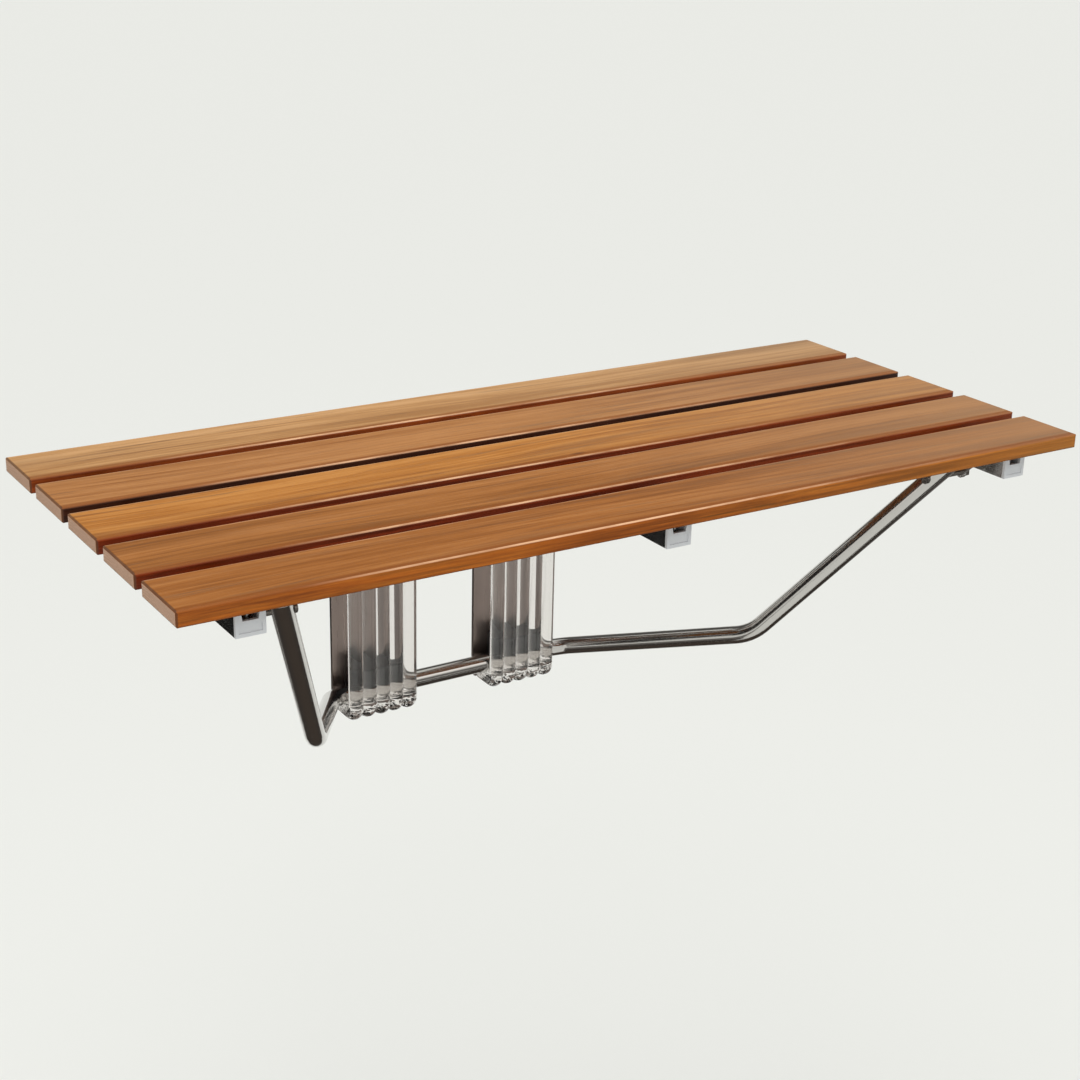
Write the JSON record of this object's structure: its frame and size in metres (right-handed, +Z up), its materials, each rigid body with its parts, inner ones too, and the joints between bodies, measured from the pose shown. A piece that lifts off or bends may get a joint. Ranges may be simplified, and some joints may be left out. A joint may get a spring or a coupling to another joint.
{
  "type": "wall-mounted folding shower bench",
  "caption": "Wall-mounted folding shower bench with teak slats on channel rails, a bent steel tube leg and clear reeded guides.",
  "frame": {"origin": "middle of the four wall screw holes, in the plane of the wall", "axes": "+X along the bench and the wall, +Y into the wall (the seat reaches out toward -Y), +Z up"},
  "size_m": [0.914, 0.438, 0.3408],
  "materials": {
    "teak": "oiled",
    "rail_aluminium": "satin",
    "steel": "polished",
    "plate_steel": "polished",
    "clear_plastic": "clear",
    "grey_plastic": "satin",
    "black_plastic": "matte"
  },
  "bodies": {
    "wall_mount": {"wall_plate_left": "plate_steel", "wall_plate_right": "plate_steel", "guide_left": "clear_plastic", "guide_right": "clear_plastic", "guide_screws": "steel", "foot_screws": "steel", "hinge_bushes": "black_plastic"},
    "seat": {"slat_1": "teak", "slat_2": "teak", "slat_3": "teak", "slat_4": "teak", "slat_5": "teak", "slat_screws": "steel", "rail_left": "rail_aluminium", "rail_middle": "rail_aluminium", "rail_right": "rail_aluminium", "front_cap_left": "grey_plastic", "front_cap_middle": "grey_plastic", "front_cap_right": "grey_plastic", "hinge_block_left": "rail_aluminium", "hinge_block_middle": "rail_aluminium", "hinge_block_right": "rail_aluminium", "hinge_shaft": "steel", "shaft_collars": "steel", "pivot_bracket_left": "steel", "pivot_bracket_right": "steel", "bracket_screws": "steel", "pivot_studs": "steel", "pivot_nuts": "steel"},
    "glides": {"glide_left": "black_plastic", "glide_right": "black_plastic"},
    "leg_frame": {"support_tube": "steel", "cross_pins": "steel"}
  },
  "joints": [
    {"name": "seat_fold", "type": "hinge", "parent": "wall_mount", "child": "seat", "pos_m": [0, -0.028, 0.141], "axis": [-1, 0, 0], "range_deg": [0, 90]},
    {"name": "glide_slide", "type": "slide", "parent": "wall_mount", "child": "glides", "axis": [0, 0, 1], "range_m": [0, 0.19361]},
    {"name": "leg_fold", "type": "hinge", "parent": "glides", "child": "leg_frame", "pos_m": [0, -0.022, -0.149], "axis": [-1, 0, 0], "range_deg": [0, 48.56]}
  ],
  "couplings": [
    {"joint": "glide_slide", "follows": "seat_fold", "m_per_rad": 0.12324},
    {"joint": "leg_fold", "follows": "seat_fold", "ratio": 0.53949}
  ]
}
